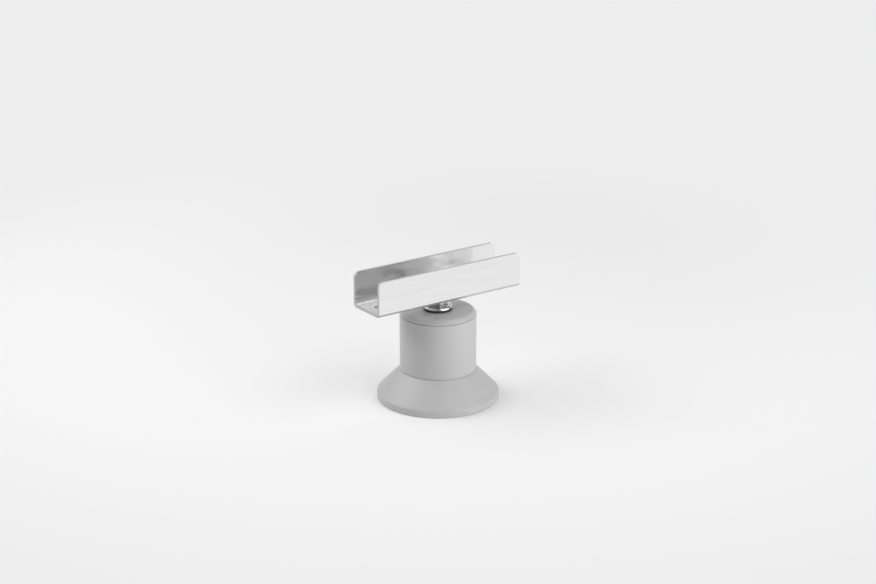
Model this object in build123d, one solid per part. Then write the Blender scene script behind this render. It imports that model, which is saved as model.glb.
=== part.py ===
from build123d import *
import math
import os

# Adjustable furniture foot: a moulded plastic foot, an M10 stud and a folded steel channel that
# holds the lower edge of a panel. Lengths are in millimetres, +Z is up and +X runs along the
# channel. The origin is on the floor, at the middle of the foot.

# Foot moulding, outside
base_radius = 32.0
column_radius = 20.0
rim_height = 3.9
cone_height = 12.3
column_height = 29.5
rim_edge_round = 0.5
seam_edge_round = 0.15
seam_gap = 0.3
seam_gap_depth = 0.6
shoulder_round = 1.1
waist_round = 0.4
waist_groove = 0.25

# Foot moulding, inside
shell_wall = 2.8
web_thickness = 3.0
socket_wall = 2.4
boss_wall = 2.2
socket_floor = 2.4
rib_thickness = 1.8
rib_draft = 0.5
rib_recess = 1.2
rib_pairs = 4
short_rib_recess = 12.0
pocket_lead = 0.4
pocket_lead_angle = 45

# Top cap
cap_height = 2.6
cap_chamfer = 1.7
cap_edge_round = 0.4
spigot_wall = 1.8
spigot_depth = 2.5
spigot_clearance = 0.1
spigot_lead = 0.5
cap_bore_chamfer = 0.3
rib_top_clearance = 0.4

# Stud and nut, M10
stud_radius = 4.95
running_clearance = 0.05
passing_clearance = 0.4
stud_reach = 36.0
stud_tip_chamfer = 1.2
nut_across_flats = 17.0
nut_height = 8.0
nut_countersink = 0.5
nut_chamfer_angle = 30
nut_side_clearance = 0.1
nut_end_clearance = 0.1

# Stop collar
collar_radius = 7.7
collar_height = 2.7
collar_top_round = 1.2
collar_foot_round = 0.5
collar_bore_chamfer = 0.25

# Channel bracket
panel_thickness = 20.0
panel_clearance = 0.2
sheet_thickness = 1.5
bracket_length = 88.5
bracket_height = 18.6
bracket_lift = 6.9
inner_bend_radius = 0.5
wall_corner_radius = 3.0
screw_hole_radius = 2.25
screw_hole_inset = 7.25

# Riveted end of the stud
rivet_shank_radius = 4.0
rivet_clearance = 0.05
rivet_head_radius = 6.4
rivet_head_height = 1.1
rivet_edge_height = 0.3

# Levels above the floor
cone_top = rim_height + cone_height
seam_level = cone_top + column_height
cap_top = seam_level + cap_height
bracket_underside = cap_top + bracket_lift
bracket_floor = bracket_underside + sheet_thickness
bracket_top = bracket_underside + bracket_height
pocket_floor = seam_level - nut_height - nut_end_clearance
web_underside = pocket_floor - web_thickness
stud_tip = cap_top - stud_reach

# Widths that follow from the fits
column_bore_radius = column_radius - shell_wall
hexagon_ratio = math.cos(math.radians(30))
nut_corner_radius = nut_across_flats / 2 / hexagon_ratio
pocket_corner_radius = (nut_across_flats / 2 + nut_side_clearance) / hexagon_ratio
pocket_flare = pocket_lead * math.tan(math.radians(pocket_lead_angle))
mouth_corner_radius = pocket_corner_radius + pocket_flare / hexagon_ratio
boss_radius = pocket_corner_radius + boss_wall
stud_bore_radius = stud_radius + passing_clearance
socket_radius = stud_bore_radius + socket_wall
bracket_width = panel_thickness + panel_clearance + 2 * sheet_thickness
cone_lean = math.atan2(base_radius - column_radius, cone_height)


def rounded(face, corners):
    """Round chosen corners of an outline in the XZ plane, each ((x, z), radius)."""
    for (x, z), radius in corners:
        corner = face.vertices().sort_by_distance((x, 0, z))[0]
        face = fillet(corner, radius)
    return face


def outline_xz(points):
    """A flat face in the XZ plane through the given (x, z) points."""
    return make_face(Polyline([(x, 0, z) for x, z in points], close=True))


def ring(inner_radius, outer_radius, low, high):
    """A plain tube about the Z axis."""
    tube = Cylinder(outer_radius, high - low) - Cylinder(inner_radius, high - low)
    return Pos(0, 0, (low + high) / 2) * tube


def bell(inset, low, high):
    """The rim, cone and column, drawn in from the outside by an equal wall all round."""
    drop = inset * math.tan(cone_lean / 2)
    rim_corner = (base_radius - inset, rim_height - drop)
    waist_corner = (column_radius - inset, cone_top - drop)
    points = [
        (0, low),
        (base_radius - inset, low),
        rim_corner,
        waist_corner,
        (column_radius - inset, high),
        (0, high),
    ]
    corners = [(rim_corner, shoulder_round), (waist_corner, waist_round)]
    return revolve(rounded(outline_xz(points), corners), Axis.Z)


def ribs(count, first_angle, inner_radius, root, tip):
    """Upright radial ribs with moulding draft from root to tip, trimmed within the shell's wall."""
    length = base_radius - inner_radius
    foot = Pos(inner_radius + length / 2, 0, root) * Rectangle(length, rib_thickness)
    way = (0, 0, math.copysign(1, tip - root))
    blade = extrude(foot, abs(tip - root), dir=way, taper=rib_draft)
    trim = bell(shell_wall / 2, 0, seam_level)
    return [Rot(0, 0, first_angle + turn * 360 / count) * blade & trim for turn in range(count)]


def foot_moulding():
    """Rim, cone and column in one shell, with the nut's boss, the stud's socket and ribs."""
    shell = bell(0, 0, seam_level)
    foot_edge = shell.edges().filter_by(GeomType.CIRCLE).group_by(Axis.Z)[0]
    shell = fillet(foot_edge, rim_edge_round)
    seam_edge = shell.edges().filter_by(GeomType.CIRCLE).group_by(Axis.Z)[-1]
    shell = fillet(seam_edge, seam_edge_round)
    shell -= Pos(0, 0, cone_top) * Torus(column_radius, waist_groove)
    body = shell - bell(shell_wall, -shell_wall, web_underside)
    body -= ring(boss_radius, column_bore_radius, pocket_floor, cap_top)

    web_middle = web_underside + web_thickness / 2
    socket = Pos(0, 0, (rib_recess + web_middle) / 2) * Cylinder(
        socket_radius, web_middle - rib_recess
    )
    body += socket
    socket_middle = socket_radius - socket_wall / 2
    body += ribs(rib_pairs, 180 / rib_pairs, socket_middle, web_middle, rib_recess)
    body += ribs(rib_pairs, 0, socket_middle, web_middle, short_rib_recess)

    rib_top = seam_level - spigot_depth - rib_top_clearance
    boss_middle = boss_radius - boss_wall / 2
    body += ribs(2 * rib_pairs, 0, boss_middle, web_middle, rib_top)

    pocket = RegularPolygon(pocket_corner_radius, 6)
    body -= Pos(0, 0, pocket_floor) * extrude(pocket, cap_top - pocket_floor)
    mouth = Pos(0, 0, seam_level) * RegularPolygon(mouth_corner_radius, 6)
    body -= extrude(mouth, pocket_lead, dir=(0, 0, -1), taper=pocket_lead_angle)
    bore_floor = rib_recess + socket_floor
    body -= Pos(0, 0, (bore_floor + cap_top) / 2) * Cylinder(stud_bore_radius, cap_top - bore_floor)
    return body


def top_cap():
    """Chamfered disc with a shadow gap at the seam and a ring that locates it in the column."""
    spigot_radius = column_bore_radius - spigot_clearance
    spigot_end = seam_level - spigot_depth
    gap_floor = column_radius - seam_gap_depth
    brim = (column_radius, seam_level + seam_gap)
    land = (column_radius, cap_top - cap_chamfer)
    crown = (column_radius - cap_chamfer, cap_top)
    points = [
        (stud_bore_radius, seam_level),
        (spigot_radius - spigot_wall, seam_level),
        (spigot_radius - spigot_wall, spigot_end),
        (spigot_radius - spigot_lead, spigot_end),
        (spigot_radius, spigot_end + spigot_lead),
        (spigot_radius, seam_level),
        (gap_floor, seam_level),
        (gap_floor, seam_level + seam_gap),
        brim,
        land,
        crown,
        (stud_bore_radius + cap_bore_chamfer, cap_top),
        (stud_bore_radius, cap_top - cap_bore_chamfer),
    ]
    corners = [(brim, seam_edge_round), (land, cap_edge_round), (crown, cap_edge_round)]
    return revolve(rounded(outline_xz(points), corners), Axis.Z)


def hex_nut():
    """Standard nut with both faces chamfered at its corners and its bore countersunk."""
    corner_width = nut_corner_radius - nut_across_flats / 2
    corner_drop = corner_width * math.tan(math.radians(nut_chamfer_angle))
    prism = extrude(RegularPolygon(nut_corner_radius, 6), nut_height)
    bore = stud_radius + running_clearance
    points = [
        (bore + nut_countersink, 0),
        (nut_across_flats / 2, 0),
        (nut_corner_radius, corner_drop),
        (nut_corner_radius, nut_height - corner_drop),
        (nut_across_flats / 2, nut_height),
        (bore + nut_countersink, nut_height),
        (bore, nut_height - nut_countersink),
        (bore, nut_countersink),
    ]
    return Pos(0, 0, pocket_floor) * (prism & revolve(outline_xz(points), Axis.Z))


def stud():
    """Screwed stud whose upper end passes through the channel and is riveted over it."""
    head_edge = bracket_floor + rivet_edge_height
    head_top = bracket_floor + rivet_head_height
    line = Polyline(
        [
            (0, 0, head_top),
            (0, 0, stud_tip),
            (stud_radius - stud_tip_chamfer, 0, stud_tip),
            (stud_radius, 0, stud_tip + stud_tip_chamfer),
            (stud_radius, 0, bracket_underside),
            (rivet_shank_radius, 0, bracket_underside),
            (rivet_shank_radius, 0, bracket_floor),
            (rivet_head_radius, 0, bracket_floor),
            (rivet_head_radius, 0, head_edge),
        ]
    )
    rise = head_top - head_edge
    dome_radius = (rivet_head_radius**2 + rise**2) / (2 * rise)
    half_angle = math.asin(rivet_head_radius / dome_radius) / 2
    shoulder = (
        dome_radius * math.sin(half_angle),
        0,
        head_top - dome_radius * (1 - math.cos(half_angle)),
    )
    crown = ThreePointArc((rivet_head_radius, 0, head_edge), shoulder, (0, 0, head_top))
    return revolve(make_face([line, crown]), Axis.Z)


def stop_collar():
    """Polished ring that stops the stud on the cap."""
    bore = stud_radius + running_clearance
    collar_top = cap_top + collar_height
    foot = (collar_radius, cap_top)
    brow = (collar_radius, collar_top)
    points = [
        (bore + collar_bore_chamfer, cap_top),
        foot,
        brow,
        (bore + collar_bore_chamfer, collar_top),
        (bore, collar_top - collar_bore_chamfer),
        (bore, cap_top + collar_bore_chamfer),
    ]
    corners = [(foot, collar_foot_round), (brow, collar_top_round)]
    return revolve(rounded(outline_xz(points), corners), Axis.Z)


def channel_section():
    """The folded U, as an outline across the channel."""
    half = bracket_width / 2
    outer_bend = inner_bend_radius + sheet_thickness
    outside = Pos(0, bracket_height / 2) * Rectangle(bracket_width, bracket_height)
    outside = fillet(outside.vertices().group_by(Axis.Y)[0], outer_bend)
    depth = bracket_height - sheet_thickness
    inside = Pos(0, sheet_thickness + depth / 2) * Rectangle(
        2 * (half - sheet_thickness), depth
    )
    inside = fillet(inside.vertices().group_by(Axis.Y)[0], inner_bend_radius)
    return outside - inside


def channel_bracket():
    """Folded channel with rounded wall corners, the stud's hole and a screw hole near each end."""
    section = Plane.YZ * channel_section()
    fold = Pos(-bracket_length / 2, 0, bracket_underside) * extrude(section, bracket_length)
    tips = fold.edges().filter_by(Axis.Y).filter_by(
        lambda edge: edge.center().Z > bracket_top - sheet_thickness
    )
    fold = fillet(tips, wall_corner_radius)
    middle = bracket_underside + sheet_thickness / 2
    reach = 2 * sheet_thickness
    fold -= Pos(0, 0, middle) * Cylinder(rivet_shank_radius + rivet_clearance, reach)
    for side in (-1, 1):
        place = side * (bracket_length / 2 - screw_hole_inset)
        fold -= Pos(place, 0, middle) * Cylinder(screw_hole_radius, reach)
    return fold


os.makedirs("parts", exist_ok=True)
for name, build in {
    "foot_moulding": foot_moulding,
    "top_cap": top_cap,
    "hex_nut": hex_nut,
    "stud": stud,
    "stop_collar": stop_collar,
    "channel_bracket": channel_bracket,
}.items():
    export_step(build(), f"parts/{name}.step")
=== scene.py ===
"""Dresses an adjustable furniture foot and stands it in a plain studio."""

import math

import bmesh
import bpy
from bpy.props import FloatProperty, FloatVectorProperty, IntProperty, PointerProperty
from mathutils import Matrix, Vector


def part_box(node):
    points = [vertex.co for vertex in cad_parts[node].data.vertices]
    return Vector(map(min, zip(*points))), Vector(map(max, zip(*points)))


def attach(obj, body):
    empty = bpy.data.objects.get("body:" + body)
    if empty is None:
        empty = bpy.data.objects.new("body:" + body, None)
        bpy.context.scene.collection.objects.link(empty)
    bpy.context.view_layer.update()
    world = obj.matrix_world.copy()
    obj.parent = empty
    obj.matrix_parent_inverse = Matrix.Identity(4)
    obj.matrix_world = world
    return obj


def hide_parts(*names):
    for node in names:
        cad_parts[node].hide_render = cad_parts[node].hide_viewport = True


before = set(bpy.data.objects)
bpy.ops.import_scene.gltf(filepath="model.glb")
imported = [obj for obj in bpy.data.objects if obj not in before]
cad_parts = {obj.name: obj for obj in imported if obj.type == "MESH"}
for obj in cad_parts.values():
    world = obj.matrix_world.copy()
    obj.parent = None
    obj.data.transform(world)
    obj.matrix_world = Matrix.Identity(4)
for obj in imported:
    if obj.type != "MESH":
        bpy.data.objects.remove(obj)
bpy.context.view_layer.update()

bl_info = {
    "name": "Adjustable furniture foot",
    "version": (1, 0, 0),
    "blender": (4, 5, 0),
    "location": "View3D > Sidebar > Furniture Foot",
    "description": "Builds the dressed pieces of a levelling foot and its studio",
    "category": "Object",
}

# Places and sizes that the frame gives, in metres.
MOULDING_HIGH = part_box("foot_moulding")[1]
CAP_LOW, CAP_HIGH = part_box("top_cap")
COLLAR_LOW, COLLAR_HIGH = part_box("stop_collar")
NUT_LOW, NUT_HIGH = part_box("hex_nut")
STUD_LOW, STUD_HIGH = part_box("stud")
BRACKET_LOW, BRACKET_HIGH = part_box("channel_bracket")

MM = 0.001
HEXAGON_RATIO = math.cos(math.pi / 6)

# How finely round shapes are cut up.
TURNED_SEGMENTS = 160
SLENDER_SEGMENTS = 96
HOLE_SEGMENTS = 64
ARC_GAP = 0.002 * MM
WIDEST_ARC_GAP = 0.3
FEWEST_ARC_STEPS = 3
ON_AXIS = 1e-7

# Material slots of the cap and of the bracket, after the first: the cap's top with painted light,
# the sheared edges that also carry the inner creases' painted shade, and the outer bends with
# painted shade.
CAP_PAINTED_LIGHT_SLOT = 1
EDGE_AND_CREASE_SHADE_SLOT = 1
SHADED_BEND_SLOT = 2

# Lamps: the setting that holds the power, the turn from the camera and the rise in degrees, and
# the width and height in metres.
LAMPS = (
    ("right_low", 60, 8, 1.1, 0.3),
    ("right_high", 60, 52, 0.9, 0.4),
    ("fill", 30, 22, 0.45, 0.6),
    ("left_high", -91, 43, 1.0, 0.45),
    ("left_low", -105, 15, 0.6, 0.45),
)


def length(name, description, default):
    """A size property in metres."""
    return FloatProperty(
        name=name,
        description=description,
        default=default,
        min=0,
        precision=5,
        subtype="DISTANCE",
        unit="LENGTH",
    )


def share(name, description, default):
    """A property from 0 to 1."""
    return FloatProperty(
        name=name, description=description, default=default, min=0, max=1, subtype="FACTOR"
    )


def colour(name, description, default):
    """A colour property, in linear light."""
    return FloatVectorProperty(
        name=name, description=description, default=default, min=0, max=1, subtype="COLOR"
    )


def power(name, description, default):
    """A lamp's power in watts."""
    return FloatProperty(name=name, description=description, default=default, min=0, unit="POWER")


class FootMouldingSettings(bpy.types.PropertyGroup):
    """Sizes of the moulded foot and its cap."""

    base_radius: length("Base radius", "Outer radius of the rim", MOULDING_HIGH.y)
    column_radius: length("Column radius", "Outer radius of the column", CAP_HIGH.x)
    rim_height: length("Rim height", "Height of the upright rim", 3.9 * MM)
    cone_height: length("Cone height", "Height of the cone above the rim", 12.3 * MM)
    shell_wall: length("Wall", "Wall of the moulded shell", 2.8 * MM)
    web_thickness: length("Web", "Web that carries the nut", 3.0 * MM)
    rim_edge_round: length("Rim edge round", "Round at the floor", 0.5 * MM)
    shoulder_round: length("Shoulder round", "Round between rim and cone", 1.1 * MM)
    waist_round: length("Waist round", "Round between cone and column, inside", 0.4 * MM)
    waist_groove: length("Waist groove", "Radius of the fine groove at the waist", 0.25 * MM)
    seam_round: length("Seam round", "Round on both edges of the cap's seam", 0.15 * MM)
    seam_gap: length("Seam gap", "Height of the shadow gap under the cap", 0.3 * MM)
    seam_gap_depth: length("Seam gap depth", "Depth of the shadow gap", 0.6 * MM)
    rib_thickness: length("Rib thickness", "Thickness of the radial ribs at their root", 1.8 * MM)
    rib_draft: FloatProperty(
        name="Rib draft",
        description="Slope of the ribs' sides, for the mould",
        default=math.radians(0.5),
        subtype="ANGLE",
    )
    rib_recess: length("Rib recess", "Gap between the long ribs and the floor", 1.2 * MM)
    short_rib_recess: length("Short rib recess", "Height of the short ribs' ends", 12.0 * MM)
    rib_pairs: IntProperty(
        name="Rib pairs", description="Pairs of one long and one short rib", default=4, min=2
    )
    socket_wall: length("Socket wall", "Wall of the stud's socket", 2.4 * MM)
    socket_floor: length("Socket floor", "Floor of the stud's socket", 2.4 * MM)
    boss_wall: length("Boss wall", "Wall of the boss round the nut", 2.2 * MM)
    nut_side_clearance: length("Nut clearance", "Gap between the nut and its pocket", 0.1 * MM)
    pocket_lead: length("Pocket lead", "Chamfer round the mouth of the nut's pocket", 0.4 * MM)
    cap_chamfer: length("Cap chamfer", "Chamfer on the cap's edge", 1.7 * MM)
    cap_edge_round: length("Cap edge round", "Round on the chamfer's edges", 0.4 * MM)
    spigot_wall: length("Spigot wall", "Wall of the ring under the cap", 1.8 * MM)
    spigot_clearance: length("Spigot clearance", "Gap between the spigot and the column", 0.1 * MM)
    spigot_lead: length("Spigot lead", "Chamfer on the spigot's outer edge", 0.5 * MM)
    rib_top_clearance: length("Rib top gap", "Gap between the upper ribs and the spigot", 0.4 * MM)
    cap_bore_chamfer: length("Cap bore chamfer", "Chamfer round the cap's bore", 0.3 * MM)


class FootStudSettings(bpy.types.PropertyGroup):
    """Sizes of the stud, its thread and the stop collar."""

    stud_radius: length("Stud radius", "Outer radius of the thread", 4.95 * MM)
    passing_clearance: length("Passing clearance", "Gap between stud and plastic", 0.4 * MM)
    running_clearance: length("Running clearance", "Gap between stud and collar", 0.05 * MM)
    thread_pitch: length("Thread pitch", "Rise of the thread in one turn", 1.5 * MM)
    thread_depth: length("Thread depth", "Depth of the thread's groove", 0.85 * MM)
    tip_chamfer: length("Tip chamfer", "Chamfer at the stud's lower end", 1.2 * MM)
    shank_radius: length("Shank radius", "Radius of the stud in the bracket", 4.0 * MM)
    head_edge: length("Head edge", "Height of the riveted head's edge", 0.3 * MM)
    nut_countersink: length("Nut countersink", "Countersink of the nut's bore", 0.5 * MM)
    collar_bore_chamfer: length("Collar bore chamfer", "Chamfer of the collar's bore", 0.25 * MM)
    collar_foot_round: length("Collar foot round", "Round at the collar's foot", 0.5 * MM)
    collar_top_round: length("Collar top round", "Round on the collar's top", 1.2 * MM)


class FootBracketSettings(bpy.types.PropertyGroup):
    """Sizes of the folded channel."""

    sheet_thickness: length("Sheet", "Thickness of the sheet", 1.5 * MM)
    bend_radius: length("Bend radius", "Inner radius of the folds", 0.5 * MM)
    corner_radius: length("Corner radius", "Round on the walls' upper corners", 3.0 * MM)
    edge_round: length("Edge round", "Round on the sheared edges", 0.16 * MM)
    screw_hole_radius: length("Screw hole radius", "Radius of the screw holes", 2.25 * MM)
    screw_hole_inset: length("Screw hole inset", "Hole centre from the channel's end", 7.25 * MM)
    stud_hole_clearance: length("Stud hole gap", "Gap between shank and bracket", 0.05 * MM)


class FootFinishSettings(bpy.types.PropertyGroup):
    """Colours and roughness of the finishes."""

    plastic: colour("Plastic", "Grey of the moulded plastic", (0.46, 0.46, 0.46))
    plastic_roughness: share("Plastic roughness", "Sheen of the moulded surface", 0.48)
    cap_roughness: share("Cap roughness", "Sheen of the smoother cap", 0.36)
    # The cap's top is painted this much paler than the rest: painted light.
    cap_painted_light_factor: FloatProperty(
        name="Cap tone",
        description="Tone of the cap's flat top against the rest",
        default=1.2,
        min=0,
    )
    plastic_grain: length("Plastic grain", "Size of the moulded grain", 0.35 * MM)
    sheet: colour("Sheet steel", "Colour of the bright rolled sheet", (0.91, 0.91, 0.91))
    sheet_metal: share("Sheet metal", "Mirror share of the sheet, the rest is a dull film", 0.95)
    sheet_roughness: share("Sheet roughness", "Roughness of the rolled sheet", 0.12)
    # The bends' darker colour is painted shade and painted dark reflection; their higher roughness
    # is their own.
    bend: colour("Bend", "Colour of the sheet's outer bends", (0.64, 0.64, 0.64))
    bend_roughness: share("Bend roughness", "Roughness of the stretched bends", 0.24)
    edge: colour("Sheared edge", "Colour of the sheet's sheared edges", (0.48, 0.48, 0.48))
    edge_metal: share("Edge metal", "Mirror share of the torn edges", 0.35)
    edge_roughness: share("Edge roughness", "Roughness of the sheared edges", 0.45)
    zinc: colour("Zinc plate", "Colour of the plated stud and nut", (0.5, 0.5, 0.51))
    zinc_roughness: share("Zinc roughness", "Roughness of the zinc plate", 0.13)
    chrome: colour("Chrome", "Colour of the polished collar", (0.64, 0.64, 0.65))
    # Painted shade: the dark band on the collar's side above the cap stands for shade and dark
    # reflection.
    collar_painted_shade: share("Foot line", "Shade of the dark band on the collar's side", 0.18)
    chrome_roughness: share("Chrome roughness", "Roughness of the collar", 0.05)


class FootStageSettings(bpy.types.PropertyGroup):
    """Camera, lamps and background."""

    camera_turn: FloatProperty(
        name="Camera turn",
        description="Angle of the view round the foot",
        default=math.radians(-35.46),
        subtype="ANGLE",
    )
    camera_rise: FloatProperty(
        name="Camera rise",
        description="Angle of the view above the floor",
        default=math.radians(18.75),
        subtype="ANGLE",
    )
    camera_distance: length("Camera distance", "Distance to the aim point", 0.98573)
    aim_height: length("Aim height", "Height of the aim point", 57.49 * MM)
    focal_length: FloatProperty(
        name="Focal length",
        description="Lens, in millimetres for a 36 mm sensor",
        default=78.37,
        subtype="DISTANCE_CAMERA",
    )
    background: share("Background", "Level of the background near the foot", 0.96)
    background_far: share("Far background", "Level of the background far off", 0.85)
    background_share: share("Background share", "Lift of the shadow near the foot", 0.42)
    background_shift: length("Background shift", "Brightest place behind the foot", 0.15)
    contact_share: share("Contact share", "Part of that lift left right at the foot", 0.3)
    room: share("Room", "Level of the dim room all round", 0.12)
    back_panel: share("Back panel", "Level of the pale panel behind the foot", 0.82)
    right_low: power("Right low lamp", "Power of the long soft box at floor level", 6.2)
    right_high: power("Right high lamp", "Power of the soft box above on the right", 3.2)
    fill: power("Fill lamp", "Power of the small soft box beside the camera", 0.7)
    left_high: power("Left high lamp", "Power of the wide soft box on the left", 6.6)
    left_low: power("Left low lamp", "Power of the weak soft box low on the left", 0.9)


def rounded_outline(corners, closed=True):
    """Points of a flat outline from its corners (across, up, radius), with rounds as arcs."""
    points = []
    for place, (across, up, radius) in enumerate(corners):
        here = Vector((across, up))
        inner = closed or 0 < place < len(corners) - 1
        if radius <= 0 or not inner:
            points.append(here)
            continue
        before = (Vector(corners[place - 1][:2]) - here).normalized()
        after = (Vector(corners[(place + 1) % len(corners)][:2]) - here).normalized()
        half = before.angle(after) / 2
        centre = here + (before + after).normalized() * radius / math.sin(half)
        start = here + before * radius / math.tan(half) - centre
        first = math.atan2(start.y, start.x)
        end = here + after * radius / math.tan(half) - centre
        sweep = math.remainder(math.atan2(end.y, end.x) - first, math.tau)
        gap = min(WIDEST_ARC_GAP, ARC_GAP / radius)
        steps = max(FEWEST_ARC_STEPS, math.ceil(abs(sweep) / (2 * math.acos(1 - gap))))
        for step in range(steps + 1):
            turn = first + sweep * step / steps
            points.append(centre + Vector((math.cos(turn), math.sin(turn))) * radius)
    return points


def object_from(shape, name):
    """A scene object from a bmesh, which is used up, with its normals outward."""
    bmesh.ops.recalc_face_normals(shape, faces=shape.faces)
    mesh = bpy.data.meshes.new(name)
    shape.to_mesh(mesh)
    shape.free()
    piece = bpy.data.objects.new(name, mesh)
    bpy.context.scene.collection.objects.link(piece)
    return piece


def smooth(piece, angle=30):
    """Smooth shading with edges kept sharp where faces meet at more than the angle."""
    piece.data.shade_smooth()
    piece.data.set_sharp_from_angle(angle=math.radians(angle))
    return piece


def skinned(name, rings, joined=False):
    """A closed skin through rings of points, joined end to end or closed by flat ends."""
    shape = bmesh.new()
    rows = [[shape.verts.new(point) for point in ring] for ring in rings]
    pairs = list(zip(rows, rows[1:]))
    if joined:
        pairs.append((rows[-1], rows[0]))
    for end in () if joined else (rows[0], rows[-1]):
        if len(end) > 1:
            shape.faces.new(end)
    for one, other in pairs:
        count = max(len(one), len(other))
        for place in range(count):
            following = (place + 1) % count
            corners = [
                one[place % len(one)],
                one[following % len(one)],
                other[following % len(other)],
                other[place % len(other)],
            ]
            shape.faces.new(list(dict.fromkeys(corners)))
    return object_from(shape, name)


def circle(radius, height, segments=TURNED_SEGMENTS):
    """Points of a level ring about the axis, or the one point on the axis."""
    if radius < ON_AXIS:
        return [Vector((0, 0, height))]
    turns = [math.tau * place / segments for place in range(segments)]
    return [Vector((radius * math.cos(turn), radius * math.sin(turn), height)) for turn in turns]


def turned(name, outline, segments=TURNED_SEGMENTS):
    """A body of revolution about +Z from an outline of (radius, height) points."""
    rings = [circle(radius, height, segments) for radius, height in outline]
    return skinned(name, rings, joined=len(rings[0]) > 1)


def prism(name, outline, low, high, lay):
    """A straight prism of a flat outline from low to high along +Z, then laid by a matrix."""
    ends = [[lay @ Vector((x, y, level)) for x, y in outline] for level in (low, high)]
    return skinned(name, ends)


def cut_or_join(piece, tool, operation):
    """Cut, join or intersect a piece with a tool, which is used up."""
    change = piece.modifiers.new("shape", "BOOLEAN")
    change.operation = operation
    change.solver = "EXACT"
    change.object = tool
    bake_modifiers(piece)
    bpy.data.objects.remove(tool)


def bake_modifiers(piece):
    """Make the piece's modifiers part of its mesh."""
    graph = bpy.context.evaluated_depsgraph_get()
    graph.update()
    made = bpy.data.meshes.new_from_object(piece.evaluated_get(graph))
    piece.modifiers.clear()
    old = piece.data
    piece.data = made
    bpy.data.meshes.remove(old)
    made.name = piece.name


def finished(piece, body, slot_name, material, *nodes):
    """Give a piece its material, its body and the CAD nodes that it stands for."""
    piece.data.materials.clear()
    piece.data.materials.append(material)
    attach(piece, body)
    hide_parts(*nodes)


def node_tree(material):
    """An empty node tree for a material, with its output node."""
    material.use_nodes = True
    tree = material.node_tree
    tree.nodes.clear()
    output = tree.nodes.new("ShaderNodeOutputMaterial")
    return tree, output


def surface(name):
    """A material with one principled shader and object coordinates."""
    material = bpy.data.materials.new(name)
    tree, output = node_tree(material)
    shader = tree.nodes.new("ShaderNodeBsdfPrincipled")
    tree.links.new(shader.outputs["BSDF"], output.inputs["Surface"])
    place = tree.nodes.new("ShaderNodeTexCoord")
    return material, tree, shader, place.outputs["Object"]


def noise(tree, place, size, detail, stretch=(1, 1, 1)):
    """Noise with features of about the given size, in metres, drawn out by a stretch."""
    mapping = tree.nodes.new("ShaderNodeMapping")
    mapping.inputs["Scale"].default_value = [1 / (size * pull) for pull in stretch]
    tree.links.new(place, mapping.inputs["Vector"])
    texture = tree.nodes.new("ShaderNodeTexNoise")
    texture.inputs["Scale"].default_value = 1
    texture.inputs["Detail"].default_value = detail
    tree.links.new(mapping.outputs["Vector"], texture.inputs["Vector"])
    return texture.outputs["Fac"]


def spread(tree, value, low, high, source_low=0.3, source_high=0.7):
    """Map a value onto a range, by default one from the usual span of noise."""
    node = tree.nodes.new("ShaderNodeMapRange")
    node.inputs["From Min"].default_value = source_low
    node.inputs["From Max"].default_value = source_high
    node.inputs["To Min"].default_value = low
    node.inputs["To Max"].default_value = high
    tree.links.new(value, node.inputs["Value"])
    return node.outputs["Result"]


def coloured(tree, shader, base, shade):
    """Give a shader a base colour multiplied by a shade of grey."""
    node = tree.nodes.new("ShaderNodeVectorMath")
    node.operation = "SCALE"
    node.inputs[0].default_value = base
    tree.links.new(shade, node.inputs["Scale"])
    tree.links.new(node.outputs["Vector"], shader.inputs["Base Color"])


def roughened(tree, shader, value, low, high):
    """Give a shader a roughness that follows a noise value."""
    tree.links.new(spread(tree, value, low, high), shader.inputs["Roughness"])


def bumped(tree, shader, heights):
    """Stack bumps of (height socket, distance) on a shader."""
    normal = None
    for height, distance in heights:
        bump = tree.nodes.new("ShaderNodeBump")
        bump.inputs["Strength"].default_value = 1
        bump.inputs["Distance"].default_value = distance
        tree.links.new(height, bump.inputs["Height"])
        if normal:
            tree.links.new(normal, bump.inputs["Normal"])
        normal = bump.outputs["Normal"]
    tree.links.new(normal, shader.inputs["Normal"])


def multiplied(tree, one, other):
    """Product of two values."""
    node = tree.nodes.new("ShaderNodeMath")
    node.operation = "MULTIPLY"
    tree.links.new(one, node.inputs[0])
    tree.links.new(other, node.inputs[1])
    return node.outputs["Value"]


def moulded_plastic(finish):
    """Grey moulded plastic of the foot."""
    return grained_plastic(finish, "moulded_plastic", finish.plastic_roughness, 1)


def cap_plastic(finish):
    """The same plastic from a smoother mould."""
    return grained_plastic(finish, "cap_plastic", finish.cap_roughness, 1)


def cap_land(finish):
    """The cap's flat top: the cap's plastic made paler by a factor, as painted light from above.
    """
    return grained_plastic(finish, "cap_land", finish.cap_roughness, finish.cap_painted_light_factor)


def grained_plastic(finish, name, level, tone):
    """Grey plastic with a fine eroded grain and faint flow marks, scaled by a tone that is painted
    light where it is above 1.
    """
    material, tree, shader, place = surface(name)
    grain = noise(tree, place, finish.plastic_grain, detail=2)
    flow = noise(tree, place, 9 * MM, detail=2, stretch=(1, 1, 3))
    speckle = noise(tree, place, 0.9 * MM, detail=1)
    # A tone above 1 paints light into the colour; the cap's top uses it.
    mottle = spread(tree, flow, 0.975 * tone, 1.02 * tone)
    shade = multiplied(tree, mottle, spread(tree, speckle, 0.985, 1.012))
    coloured(tree, shader, finish.plastic, shade)
    roughened(tree, shader, flow, level - 0.04, level + 0.05)
    bumped(tree, shader, [(flow, 0.02 * MM), (grain, 0.012 * MM)])
    return material


def rolled_sheet(finish):
    """Bright rolled steel."""
    return streaked_steel(finish, "bright_rolled_sheet", finish.sheet, finish.sheet_roughness)


def worked_bend(finish):
    """The same steel, rougher where bending has stretched it and darker with painted shade."""
    return streaked_steel(finish, "worked_bend", finish.bend, finish.bend_roughness)


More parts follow.
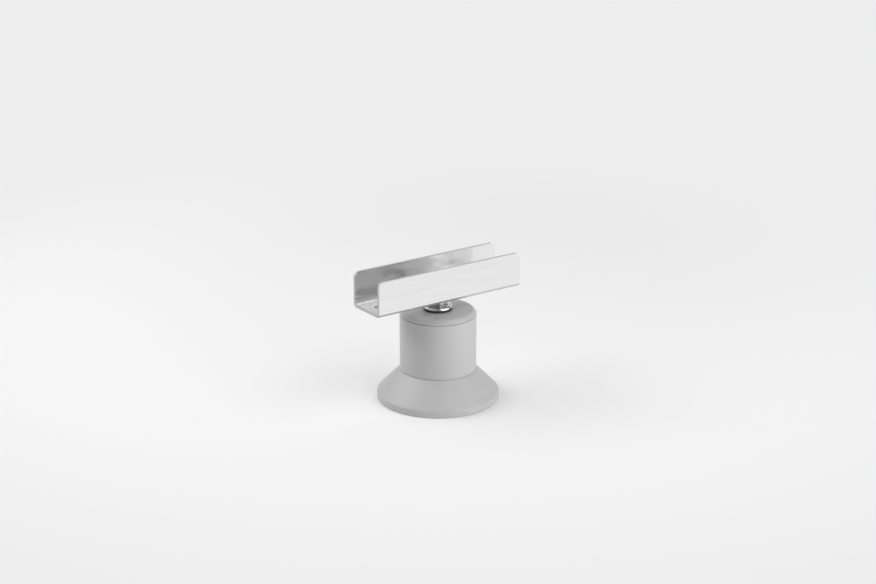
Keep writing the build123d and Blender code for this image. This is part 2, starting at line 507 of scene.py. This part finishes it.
def streaked_steel(finish, name, base, level):
    """Rolled steel with fine streaks along the channel and a slight waviness."""
    material, tree, shader, place = surface(name)
    shader.inputs["Metallic"].default_value = finish.sheet_metal
    streak = noise(tree, place, 0.22 * MM, detail=4, stretch=(60, 1, 1))
    broad = noise(tree, place, 2.2 * MM, detail=2, stretch=(14, 1, 1))
    wave = noise(tree, place, 26 * MM, detail=1, stretch=(1, 1, 1.6))
    shade = multiplied(tree, spread(tree, streak, 0.94, 1.0), spread(tree, broad, 0.97, 1.0))
    coloured(tree, shader, base, shade)
    roughened(tree, shader, streak, level - 0.03, level + 0.05)
    bumped(tree, shader, [(wave, 0.05 * MM), (streak, 0.0022 * MM)])
    return material


def sheared_edge(finish):
    """Cut edge of the sheet: a smooth rolled-over band and a rough torn one across it. Its darker
    colour also paints shade into the inner creases.
    """
    material, tree, shader, place = surface("sheared_edge")
    shader.inputs["Metallic"].default_value = finish.edge_metal
    torn = noise(tree, place, 0.3 * MM, detail=4)
    score = noise(tree, place, 0.12 * MM, detail=3, stretch=(1, 8, 1))
    shade = multiplied(tree, spread(tree, torn, 0.88, 1.06), spread(tree, score, 0.93, 1.04))
    coloured(tree, shader, finish.edge, shade)
    level = finish.edge_roughness
    roughened(tree, shader, torn, level - 0.08, level + 0.1)
    bumped(tree, shader, [(torn, 0.02 * MM), (score, 0.006 * MM)])
    return material


def zinc_plate(finish):
    """Zinc plate with a faint cloudy sheen."""
    material, tree, shader, place = surface("zinc_plate")
    shader.inputs["Metallic"].default_value = 1
    cloud = noise(tree, place, 1.6 * MM, detail=3)
    fine = noise(tree, place, 0.12 * MM, detail=2, stretch=(4, 4, 1))
    coloured(tree, shader, finish.zinc, spread(tree, cloud, 0.93, 1.03))
    level = finish.zinc_roughness
    roughened(tree, shader, cloud, level - 0.03, level + 0.05)
    bumped(tree, shader, [(fine, 0.003 * MM)])
    return material


def polished_chrome(finish):
    """Polished chrome with the faintest turned rings and a painted band of shade and dark
    reflection above the cap.
    """
    material, tree, shader, place = surface("turned_chrome")
    shader.inputs["Metallic"].default_value = 1
    cloud = noise(tree, place, 2.4 * MM, detail=2)
    rings = noise(tree, place, 0.1 * MM, detail=1, stretch=(40, 40, 1))
    axes = tree.nodes.new("ShaderNodeSeparateXYZ")
    tree.links.new(place, axes.inputs["Vector"])
    # Painted shade: the collar's side is darkened up to 1.2 mm above its foot and clears by 1.6
    # mm.
    band_top, clear = COLLAR_LOW.z + 1.2 * MM, COLLAR_LOW.z + 1.6 * MM
    line = spread(tree, axes.outputs["Z"], finish.collar_painted_shade, 1, band_top, clear)
    shade = multiplied(tree, spread(tree, cloud, 0.97, 1.0), line)
    coloured(tree, shader, finish.chrome, shade)
    level = finish.chrome_roughness
    roughened(tree, shader, cloud, level - 0.02, level + 0.03)
    bumped(tree, shader, [(rings, 0.0008 * MM)])
    return material


def shared_material(maker):
    """The material that a maker makes, made once. No name may be one that the frame brings."""
    known = bpy.data.materials.get(MATERIAL_NAMES[maker])
    return known or maker(bpy.context.scene.foot_finish)


MATERIAL_NAMES = {
    moulded_plastic: "moulded_plastic",
    cap_plastic: "cap_plastic",
    cap_land: "cap_land",
    rolled_sheet: "bright_rolled_sheet",
    sheared_edge: "sheared_edge",
    worked_bend: "worked_bend",
    zinc_plate: "zinc_plate",
    polished_chrome: "turned_chrome",
}


def bell_corners(sizes, inset):
    """Corners where the rim meets the cone and the cone the column, drawn in by a wall."""
    lean = math.atan2(sizes.base_radius - sizes.column_radius, sizes.cone_height)
    drop = inset * math.tan(lean / 2)
    shoulder = (sizes.base_radius - inset, sizes.rim_height - drop)
    waist = (sizes.column_radius - inset, sizes.rim_height + sizes.cone_height - drop)
    return shoulder, waist


def waist_notch(waist, shoulder, radius):
    """Corners of a fine round-bottomed groove, cut into the corner at the waist."""
    corner = Vector(waist)
    along_cone = (Vector(shoulder) - corner).normalized() * radius
    along_column = Vector((0, radius))
    inward = -(along_cone + along_column).normalized() * radius
    fullness = 0.75
    points = (
        along_cone,
        (inward + along_cone) * fullness,
        inward,
        (inward + along_column) * fullness,
        along_column,
    )
    return [(*(corner + point), 0) for point in points]


def radial_ribs(piece, sizes, count, first_turn, inner_radius, root, tip):
    """Join upright radial ribs, thinner towards the tip and ending inside the shell's wall."""
    low, high = min(root, tip), max(root, tip)
    shoulder, waist = bell_corners(sizes, sizes.shell_wall / 2)
    lean_run = (shoulder[0] - waist[0]) / (waist[1] - shoulder[1])
    foot_radius = min(shoulder[0], shoulder[0] - (low - shoulder[1]) * lean_run)
    outline = [(inner_radius, low), (max(foot_radius, waist[0]), low)]
    if low < shoulder[1]:
        outline.append(shoulder)
    if low < waist[1]:
        outline.append(waist)
    outline += [(waist[0], high), (inner_radius, high)]
    for place in range(count):
        turn = Matrix.Rotation(first_turn + math.tau * place / count, 4, "Z")
        sides = []
        for way in (-1, 1):
            side = []
            for radius, height in outline:
                half = sizes.rib_thickness / 2 - abs(height - root) * math.tan(sizes.rib_draft)
                side.append(turn @ Vector((radius, way * half, height)))
            sides.append(side)
        cut_or_join(piece, skinned("rib", sides), "UNION")


class FOOT_OT_moulding(bpy.types.Operator):
    """Build the moulded foot with its ribbed underside"""

    bl_idname = "foot.moulding"
    bl_label = "Foot moulding"

    def execute(self, context):
        sizes, stud = context.scene.foot_moulding, context.scene.foot_stud
        seam = MOULDING_HIGH.z
        pocket_floor = NUT_LOW.z
        web = pocket_floor - sizes.web_thickness
        bore = stud.stud_radius + stud.passing_clearance
        socket = bore + sizes.socket_wall
        column_bore = sizes.column_radius - sizes.shell_wall
        pocket_across = NUT_HIGH.y + sizes.nut_side_clearance
        pocket_corner = pocket_across / HEXAGON_RATIO
        boss = pocket_corner + sizes.boss_wall
        shoulder, waist = bell_corners(sizes, 0)
        inner_shoulder, inner_waist = bell_corners(sizes, sizes.shell_wall)
        edge_round, root_round = 0.3 * MM, 0.5 * MM
        corners = [
            (0, sizes.rib_recess, 0),
            (socket, sizes.rib_recess, edge_round),
            (socket, web, root_round),
            (column_bore, web, root_round),
            (*inner_waist, sizes.waist_round),
            (*inner_shoulder, sizes.shoulder_round),
            (sizes.base_radius - sizes.shell_wall, 0, edge_round),
            (sizes.base_radius, 0, sizes.rim_edge_round),
            (*shoulder, sizes.shoulder_round),
            *waist_notch(waist, shoulder, sizes.waist_groove),
            (sizes.column_radius, seam, sizes.seam_round),
            (column_bore, seam, 0),
            (column_bore, pocket_floor, 0),
            (boss, pocket_floor, 0),
            (boss, seam, 0),
            (bore, seam, 0),
            (bore, sizes.rib_recess + sizes.socket_floor, 0),
            (0, sizes.rib_recess + sizes.socket_floor, 0),
        ]
        piece = turned("moulded_foot", rounded_outline(corners, closed=False))
        web_middle = web + sizes.web_thickness / 2
        socket_middle = socket - sizes.socket_wall / 2
        pairs = sizes.rib_pairs
        long_turn = math.pi / pairs
        radial_ribs(piece, sizes, pairs, long_turn, socket_middle, web_middle, sizes.rib_recess)
        radial_ribs(piece, sizes, pairs, 0, socket_middle, web_middle, sizes.short_rib_recess)
        boss_middle = boss - sizes.boss_wall / 2
        rib_top = CAP_LOW.z - sizes.rib_top_clearance
        radial_ribs(piece, sizes, 2 * pairs, 0, boss_middle, web_middle, rib_top)
        lead = sizes.pocket_lead
        pocket = [
            circle(pocket_corner, pocket_floor, 6),
            circle(pocket_corner, seam - lead, 6),
            circle(pocket_corner + 2 * lead / HEXAGON_RATIO, seam + lead, 6),
        ]
        cut_or_join(piece, skinned("pocket", pocket), "DIFFERENCE")
        smooth(piece, 35)
        material = shared_material(moulded_plastic)
        finished(piece, "foot", "grey_plastic", material, "foot_moulding")
        return {"FINISHED"}


class FOOT_OT_cap(bpy.types.Operator):
    """Build the chamfered cap with its locating ring"""

    bl_idname = "foot.cap"
    bl_label = "Top cap"

    def execute(self, context):
        sizes, stud = context.scene.foot_moulding, context.scene.foot_stud
        seam, top = MOULDING_HIGH.z, CAP_HIGH.z
        bore = stud.stud_radius + stud.passing_clearance
        spigot = sizes.column_radius - sizes.shell_wall - sizes.spigot_clearance
        spigot_bore, spigot_round = spigot - sizes.spigot_wall, 0.2 * MM
        gap_floor, gap_top = sizes.column_radius - sizes.seam_gap_depth, seam + sizes.seam_gap
        corners = [
            (bore, seam, 0),
            (spigot_bore, seam, 0),
            (spigot_bore, CAP_LOW.z, spigot_round),
            (spigot - sizes.spigot_lead, CAP_LOW.z, 0),
            (spigot, CAP_LOW.z + sizes.spigot_lead, 0),
            (spigot, seam, 0),
            (gap_floor, seam, 0),
            (gap_floor, gap_top, 0),
            (sizes.column_radius, gap_top, sizes.seam_round),
            (sizes.column_radius, top - sizes.cap_chamfer, sizes.cap_edge_round),
            (sizes.column_radius - sizes.cap_chamfer, top, sizes.cap_edge_round),
            (bore + sizes.cap_bore_chamfer, top, 0),
            (bore, top - sizes.cap_bore_chamfer, 0),
        ]
        piece = smooth(turned("chamfered_cap", rounded_outline(corners)))
        material = shared_material(cap_plastic)
        finished(piece, "foot", "grey_plastic", material, "top_cap")
        # The cap's flat top gets a paler copy of the plastic: painted light.
        piece.data.materials.append(shared_material(cap_land))
        level, hair = 0.99, 0.01 * MM
        for face in piece.data.polygons:
            if face.normal.z > level and face.center.z > top - hair:
                face.material_index = CAP_PAINTED_LIGHT_SLOT
        return {"FINISHED"}


class FOOT_OT_nut(bpy.types.Operator):
    """Build the captive nut"""

    bl_idname = "foot.nut"
    bl_label = "Captive nut"

    def execute(self, context):
        stud = context.scene.foot_stud
        flat, corner = NUT_HIGH.y, NUT_HIGH.x
        drop = (corner - flat) * math.tan(math.pi / 6)
        bore = stud.stud_radius + stud.running_clearance
        low, high = NUT_LOW.z, NUT_HIGH.z
        sink = stud.nut_countersink
        corners = [
            (bore + sink, low, 0),
            (flat, low, 0),
            (corner + drop, low + drop * 2, 0),
            (corner + drop, high - drop * 2, 0),
            (flat, high, 0),
            (bore + sink, high, 0),
            (bore, high - sink, 0),
            (bore, low + sink, 0),
        ]
        piece = turned("captive_nut", rounded_outline(corners), SLENDER_SEGMENTS)
        hexagon = [circle(corner, level, 6) for level in (low - flat, high + flat)]
        cut_or_join(piece, skinned("hexagon", hexagon), "INTERSECT")
        smooth(piece)
        finished(piece, "foot", "zinc_steel", shared_material(zinc_plate), "hex_nut")
        return {"FINISHED"}


class FOOT_OT_collar(bpy.types.Operator):
    """Build the polished stop collar"""

    bl_idname = "foot.collar"
    bl_label = "Stop collar"

    def execute(self, context):
        stud = context.scene.foot_stud
        bore = stud.stud_radius + stud.running_clearance
        radius, low, high = COLLAR_HIGH.x, COLLAR_LOW.z, COLLAR_HIGH.z
        chamfer = stud.collar_bore_chamfer
        corners = [
            (bore + chamfer, low, 0),
            (radius, low, stud.collar_foot_round),
            (radius, high, stud.collar_top_round),
            (bore + chamfer, high, 0),
            (bore, high - chamfer, 0),
            (bore, low + chamfer, 0),
        ]
        piece = smooth(turned("polished_collar", rounded_outline(corners)))
        material = shared_material(polished_chrome)
        finished(piece, "collar", "polished_chrome", material, "stop_collar")
        return {"FINISHED"}


def thread_radius(turns, major, depth):
    """Radius of a rounded metric thread at a share of its turn."""
    wave = abs((turns % 1) * 2 - 1)
    crest, straight_share, eased_share = 0.14, 0.55, 0.45
    level = min(1, max(0, (wave - crest) / (1 - 2 * crest)))
    eased = level * level * (3 - 2 * level)
    return major - depth * (straight_share * level + eased_share * eased)


class FOOT_OT_stud(bpy.types.Operator):
    """Build the threaded stud with its riveted head"""

    bl_idname = "foot.stud"
    bl_label = "Threaded stud"

    def execute(self, context):
        stud = context.scene.foot_stud
        rows_per_turn, dome_rows, edge_round = 14, 10, 0.1 * MM
        row_height = stud.thread_pitch / rows_per_turn
        under, floor = BRACKET_LOW.z, BRACKET_LOW.z + context.scene.foot_bracket.sheet_thickness
        tip, thread_end = STUD_LOW.z, under - 2 * row_height
        rows = round((thread_end - tip) / row_height)
        rings = [circle(0, tip)]
        for row in range(rows + 1):
            height = tip + (thread_end - tip) * row / rows
            cone = stud.stud_radius - stud.tip_chamfer + (height - tip)
            fade = min(1, (thread_end - height) / stud.thread_pitch)
            ring = []
            for spoke in range(SLENDER_SEGMENTS):
                turn = math.tau * spoke / SLENDER_SEGMENTS
                turns = height / stud.thread_pitch - spoke / SLENDER_SEGMENTS
                radius = thread_radius(turns, stud.stud_radius, stud.thread_depth * fade)
                radius = min(radius, cone)
                ring.append(Vector((radius * math.cos(turn), radius * math.sin(turn), height)))
            rings.append(ring)
        top, head = STUD_HIGH.z, STUD_HIGH.x
        upper = rounded_outline(
            [
                (stud.stud_radius, thread_end + row_height, 0),
                (stud.stud_radius, under, edge_round),
                (stud.shank_radius, under, 0),
                (stud.shank_radius, floor, 0),
                (head, floor, edge_round),
                (head, floor + stud.head_edge, 0),
            ],
            closed=False,
        )
        rise = top - floor - stud.head_edge
        dome = (head**2 + rise**2) / (2 * rise)
        reach = math.asin(head / dome)
        for step in range(1, dome_rows):
            lean = reach * (1 - step / dome_rows)
            upper.append(Vector((dome * math.sin(lean), top - dome * (1 - math.cos(lean)))))
        rings += [circle(radius, height, SLENDER_SEGMENTS) for radius, height in upper]
        rings.append(circle(0, top))
        piece = smooth(skinned("threaded_stud", rings), 50)
        finished(piece, "bracket", "zinc_steel", shared_material(zinc_plate), "stud")
        return {"FINISHED"}


def mark_edges_and_bends(mesh, bend_top, floor_half):
    """Give the channel's sheared edges and outer bends their material slots, with painted shade on
    the up-facing part of the inner creases and the down-facing part of the outer bends.
    """
    leaning, tilted, upright, crease = 0.5, 0.1, 0.98, 0.6
    for face in mesh.polygons:
        normal, centre = face.normal, face.center
        on_end = abs(normal.x) > leaning
        on_top = abs(normal.y) < leaning and centre.z > bend_top
        in_hole = abs(normal.z) < leaning and abs(centre.y) < floor_half
        sloped = tilted < abs(normal.y) < upright and centre.z < bend_top
        # Painted shade: the up-facing part of the inner creases takes the darker edge material.
        crease_painted_shade = sloped and crease < normal.z
        if on_end or on_top or in_hole or crease_painted_shade:
            face.material_index = EDGE_AND_CREASE_SHADE_SLOT
        # Painted shade: the down-facing part of the outer bends takes the darker bend material.
        elif sloped and normal.z < 0:
            face.material_index = SHADED_BEND_SLOT


class FOOT_OT_bracket(bpy.types.Operator):
    """Build the folded channel bracket"""

    bl_idname = "foot.bracket"
    bl_label = "Channel bracket"

    def execute(self, context):
        sizes = context.scene.foot_bracket
        sheet = sizes.sheet_thickness
        half, low, high = BRACKET_HIGH.y, BRACKET_LOW.z, BRACKET_HIGH.z
        outer_bend = sizes.bend_radius + sheet
        section = rounded_outline(
            [
                (-half, high, 0),
                (-half, low, outer_bend),
                (half, low, outer_bend),
                (half, high, 0),
                (half - sheet, high, 0),
                (half - sheet, low + sheet, sizes.bend_radius),
                (sheet - half, low + sheet, sizes.bend_radius),
                (sheet - half, high, 0),
            ]
        )
        along_x = Matrix(((0, 0, 1, 0), (1, 0, 0, 0), (0, 1, 0, 0), (0, 0, 0, 1)))
        end = BRACKET_HIGH.x
        piece = prism("folded_channel", section, -end, end, along_x)
        side = rounded_outline(
            [
                (-end, low - sheet, 0),
                (end, low - sheet, 0),
                (end, high, sizes.corner_radius),
                (-end, high, sizes.corner_radius),
            ]
        )
        along_y = Matrix.Rotation(math.pi / 2, 4, "X")
        cut_or_join(piece, prism("side", side, -2 * half, 2 * half, along_y), "INTERSECT")
        hole_inset = end - sizes.screw_hole_inset
        holes = [(place, sizes.screw_hole_radius) for place in (-hole_inset, hole_inset)]
        holes.append((0, context.scene.foot_stud.shank_radius + sizes.stud_hole_clearance))
        for place, radius in holes:
            across = Vector((place, 0, 0))
            levels = (low - sheet, low + 2 * sheet)
            rings = [circle(radius, level, HOLE_SEGMENTS) for level in levels]
            hole = [[across + point for point in ring] for ring in rings]
            cut_or_join(piece, skinned("hole", hole), "DIFFERENCE")
        bevel = piece.modifiers.new("edge", "BEVEL")
        bevel.width = sizes.edge_round
        bevel.segments = 2
        bevel.limit_method = "ANGLE"
        sharp_angle = 50
        bevel.angle_limit = math.radians(sharp_angle)
        bake_modifiers(piece)
        smooth(piece, sharp_angle)
        piece.modifiers.new("normals", "WEIGHTED_NORMAL").keep_sharp = True
        material = shared_material(rolled_sheet)
        finished(piece, "bracket", "bright_sheet", material, "channel_bracket")
        piece.data.materials.append(shared_material(sheared_edge))
        piece.data.materials.append(shared_material(worked_bend))
        floor_half = half - sheet - sizes.bend_radius
        mark_edges_and_bends(piece.data, low + outer_bend, floor_half)
        return {"FINISHED"}


def floor_material(stage):
    """A pale floor that camera and gloss see nearly white, with the foot's soft shadow."""
    paint_colour = (0.88, 0.88, 0.88, 1)
    bright_reach, dim_reach = 0.12, 0.42
    foot_edge, contact_end = 32 * MM, 45 * MM
    material = bpy.data.materials.new("pale_floor")
    tree, output = node_tree(material)
    nodes, links = tree.nodes, tree.links
    paint = nodes.new("ShaderNodeBsdfDiffuse")
    paint.inputs["Color"].default_value = paint_colour
    glow = nodes.new("ShaderNodeEmission")
    place = nodes.new("ShaderNodeTexCoord")
    reach = nodes.new("ShaderNodeVectorMath")
    reach.operation = "DISTANCE"
    reach.inputs[1].default_value = view_direction(stage.camera_turn, 0) * -stage.background_shift
    links.new(place.outputs["Object"], reach.inputs[0])
    far = spread(tree, reach.outputs["Value"], 0, 1, bright_reach, dim_reach)
    far.node.interpolation_type = "SMOOTHSTEP"
    level = spread(tree, far, stage.background, stage.background_far, 0, 1)
    links.new(level, glow.inputs["Strength"])
    beside = nodes.new("ShaderNodeVectorMath")
    beside.operation = "LENGTH"
    links.new(place.outputs["Object"], beside.inputs[0])
    contact = spread(
        tree, beside.outputs["Value"], stage.contact_share, 1, foot_edge, contact_end
    )
    lift = multiplied(tree, spread(tree, far, stage.background_share, 1, 0, 1), contact)
    path = nodes.new("ShaderNodeLightPath")
    seen = nodes.new("ShaderNodeMath")
    seen.operation = "MAXIMUM"
    links.new(path.outputs["Is Camera Ray"], seen.inputs[0])
    links.new(path.outputs["Is Glossy Ray"], seen.inputs[1])
    mix = nodes.new("ShaderNodeMixShader")
    links.new(multiplied(tree, seen.outputs["Value"], lift), mix.inputs["Fac"])
    links.new(paint.outputs["BSDF"], mix.inputs[1])
    links.new(glow.outputs["Emission"], mix.inputs[2])
    links.new(mix.outputs["Shader"], output.inputs["Surface"])
    return material


def studio_world(stage):
    """A dim room with a pale panel behind the foot, seen by the camera as plain background."""
    panel_rise = math.radians(20)
    panel_edge, panel_core = 0.5, 0.95
    world = bpy.data.worlds.new("studio")
    world.use_nodes = True
    tree = world.node_tree
    nodes, links = tree.nodes, tree.links
    nodes.clear()
    output = nodes.new("ShaderNodeOutputWorld")
    room = nodes.new("ShaderNodeBackground")
    plain = nodes.new("ShaderNodeBackground")
    plain.inputs["Strength"].default_value = stage.background_far
    for background in (room, plain):
        background.inputs["Color"].default_value = (1, 1, 1, 1)
    place = nodes.new("ShaderNodeTexCoord")
    facing = nodes.new("ShaderNodeVectorMath")
    facing.operation = "DOT_PRODUCT"
    facing.inputs[1].default_value = view_direction(stage.camera_turn + math.pi, panel_rise)
    links.new(place.outputs["Generated"], facing.inputs[0])
    level = spread(
        tree, facing.outputs["Value"], stage.room, stage.back_panel, panel_edge, panel_core
    )
    level.node.interpolation_type = "SMOOTHSTEP"
    links.new(level, room.inputs["Strength"])
    path = nodes.new("ShaderNodeLightPath")
    mix = nodes.new("ShaderNodeMixShader")
    links.new(path.outputs["Is Camera Ray"], mix.inputs["Fac"])
    links.new(room.outputs["Background"], mix.inputs[1])
    links.new(plain.outputs["Background"], mix.inputs[2])
    links.new(mix.outputs["Shader"], output.inputs["Surface"])
    return world


def soft_box(name, turn, rise, width, height, watts):
    """A soft lamp a metre away that faces the foot, placed by a turn and a rise in degrees."""
    aim = Vector((0, 0, 30 * MM))
    lamp = bpy.data.lights.new(name, "AREA")
    lamp.shape = "RECTANGLE"
    lamp.size = width
    lamp.size_y = height
    lamp.energy = watts
    thing = bpy.data.objects.new(name, lamp)
    camera_turn = bpy.context.scene.foot_stage.camera_turn
    back = view_direction(camera_turn + math.radians(turn), math.radians(rise))
    thing.location = aim + back
    thing.rotation_euler = back.to_track_quat("Z", "Y").to_euler()
    thing.visible_camera = False
    bpy.context.scene.collection.objects.link(thing)


def view_direction(turn, rise):
    """Unit vector from the foot towards a viewer at a turn and rise."""
    flat = math.cos(rise)
    return Vector((math.sin(turn) * flat, -math.cos(turn) * flat, math.sin(rise)))


class FOOT_OT_stage(bpy.types.Operator):
    """Build the floor, the lamps, the room and the camera"""

    bl_idname = "foot.stage"
    bl_label = "Studio stage"

    def execute(self, context):
        stage = context.scene.foot_stage
        floor_radius, floor_segments = 6, 96
        shape = bmesh.new()
        bmesh.ops.create_circle(
            shape, cap_ends=True, radius=floor_radius, segments=floor_segments
        )
        floor = object_from(shape, "floor")
        floor.data.materials.append(floor_material(stage))
        context.scene.world = studio_world(stage)
        for setting, *place in LAMPS:
            soft_box(f"{setting}_box", *place, getattr(stage, setting))
        camera_data = bpy.data.cameras.new("camera")
        camera_data.sensor_width = 36
        camera_data.lens = stage.focal_length
        camera = bpy.data.objects.new("camera", camera_data)
        back = view_direction(stage.camera_turn, stage.camera_rise)
        camera.location = Vector((0, 0, stage.aim_height)) + back * stage.camera_distance
        camera.rotation_euler = back.to_track_quat("Z", "Y").to_euler()
        context.scene.collection.objects.link(camera)
        context.scene.camera = camera
        context.scene.view_settings.view_transform = "Standard"
        return {"FINISHED"}


STEPS = (
    FOOT_OT_moulding,
    FOOT_OT_cap,
    FOOT_OT_nut,
    FOOT_OT_collar,
    FOOT_OT_stud,
    FOOT_OT_bracket,
    FOOT_OT_stage,
)


class FOOT_PT_sidebar(bpy.types.Panel):
    """The foot's pieces and their sizes."""

    bl_idname = "FOOT_PT_sidebar"
    bl_label = "Furniture Foot"
    bl_space_type = "VIEW_3D"
    bl_region_type = "UI"
    bl_category = "Furniture Foot"

    def draw(self, context):
        layout = self.layout
        for step in STEPS:
            layout.operator(step.bl_idname)
        for holder in SETTINGS:
            box = layout.box()
            group = getattr(context.scene, holder)
            for name in group.bl_rna.properties.keys():
                if name not in ("name", "rna_type"):
                    box.prop(group, name)


SETTINGS = {
    "foot_moulding": FootMouldingSettings,
    "foot_stud": FootStudSettings,
    "foot_bracket": FootBracketSettings,
    "foot_finish": FootFinishSettings,
    "foot_stage": FootStageSettings,
}


def register():
    """Register the settings, the operators and the panel."""
    for holder, group in SETTINGS.items():
        bpy.utils.register_class(group)
        setattr(bpy.types.Scene, holder, PointerProperty(type=group))
    for step in STEPS:
        bpy.utils.register_class(step)
    bpy.utils.register_class(FOOT_PT_sidebar)


def unregister():
    """Take the panel, the operators and the settings away again."""
    bpy.utils.unregister_class(FOOT_PT_sidebar)
    for step in reversed(STEPS):
        bpy.utils.unregister_class(step)
    for holder, group in SETTINGS.items():
        delattr(bpy.types.Scene, holder)
        bpy.utils.unregister_class(group)


def main():
    """Build everything in order."""
    register()
    for step in STEPS:
        group, action = step.bl_idname.split(".")
        getattr(getattr(bpy.ops, group), action)()
    bpy.context.view_layer.update()


if __name__ == "__main__":
    main()
